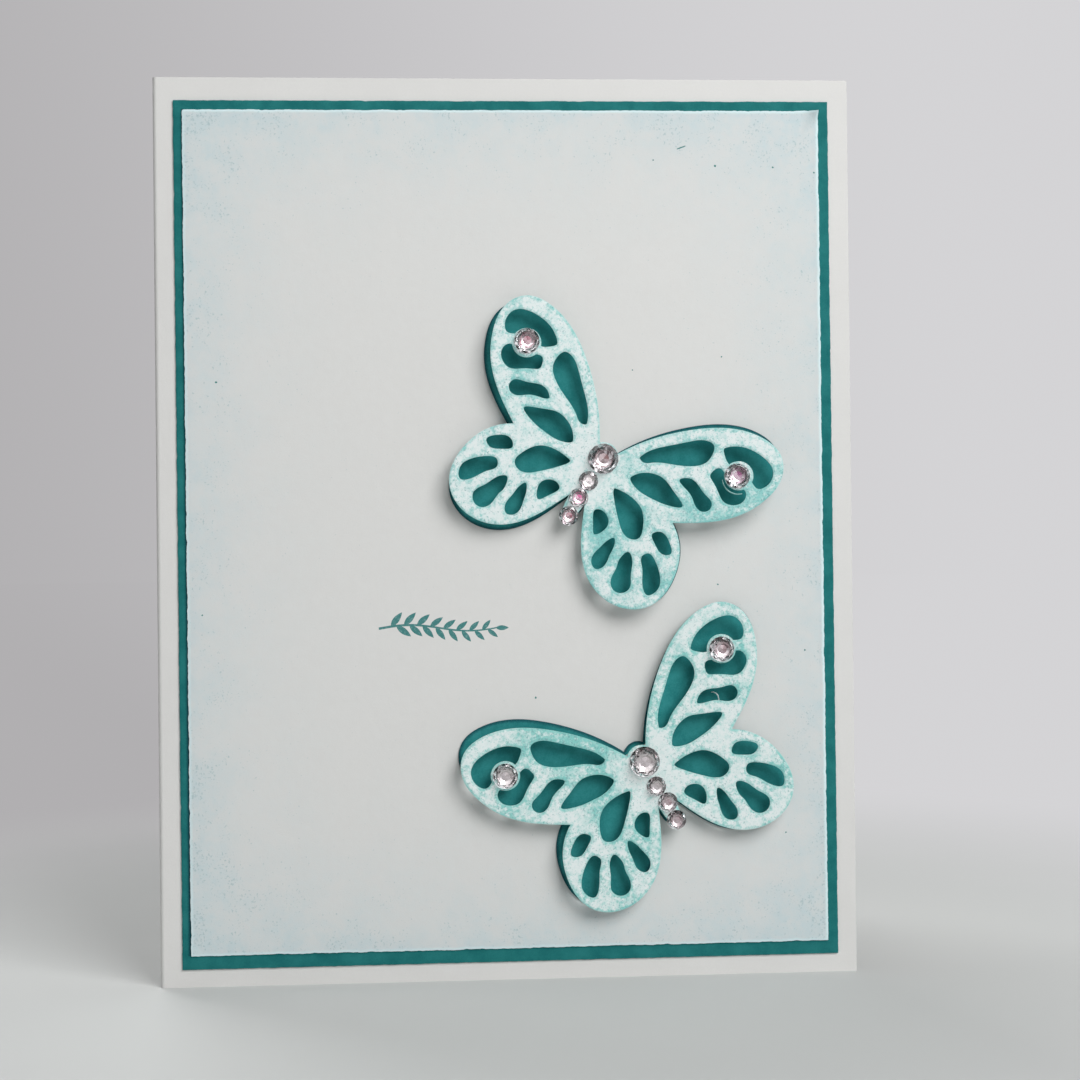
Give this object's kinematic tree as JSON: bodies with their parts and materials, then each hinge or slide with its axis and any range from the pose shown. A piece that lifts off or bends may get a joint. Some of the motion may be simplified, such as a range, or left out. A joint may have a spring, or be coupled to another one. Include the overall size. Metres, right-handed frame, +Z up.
{
  "type": "greeting card",
  "caption": "Folded paper greeting card standing open, with a teal mat, a sponged white panel and raised die-cut butterflies set with flat-backed rhinestones.",
  "frame": {"origin": "middle of the card's footprint, on the surface it stands on", "axes": "+Z up along the card's height, -Y out of the front panel towards the reader, +X to the reader's right, fold at the left"},
  "size_m": [0.108, 0.0664, 0.1397],
  "materials": {
    "white_card": "matt uncoated white card stock",
    "teal_card": "matt teal card stock",
    "sponged_card": "white card stock, edges sponged with pale teal ink",
    "butterfly_card": "white die-cut card sponged with teal ink",
    "rhinestone": "clear faceted stone with a foiled flat back",
    "foam": "white closed-cell foam"
  },
  "bodies": {
    "root": {"card_base": "white_card", "teal_mat": "teal_card", "sponged_panel": "sponged_card", "upper_butterfly_backing": "teal_card", "upper_butterfly_top": "butterfly_card", "upper_pad_head": "foam", "upper_pad_tail": "foam", "upper_gem_head": "rhinestone", "upper_gem_body_1": "rhinestone", "upper_gem_body_2": "rhinestone", "upper_gem_body_3": "rhinestone", "upper_gem_left_wing": "rhinestone", "upper_gem_right_wing": "rhinestone", "lower_butterfly_backing": "teal_card", "lower_butterfly_top": "butterfly_card", "lower_pad_head": "foam", "lower_pad_tail": "foam", "lower_gem_head": "rhinestone", "lower_gem_body_1": "rhinestone", "lower_gem_body_2": "rhinestone", "lower_gem_body_3": "rhinestone", "lower_gem_left_wing": "rhinestone", "lower_gem_right_wing": "rhinestone"}
  },
  "joints": []
}
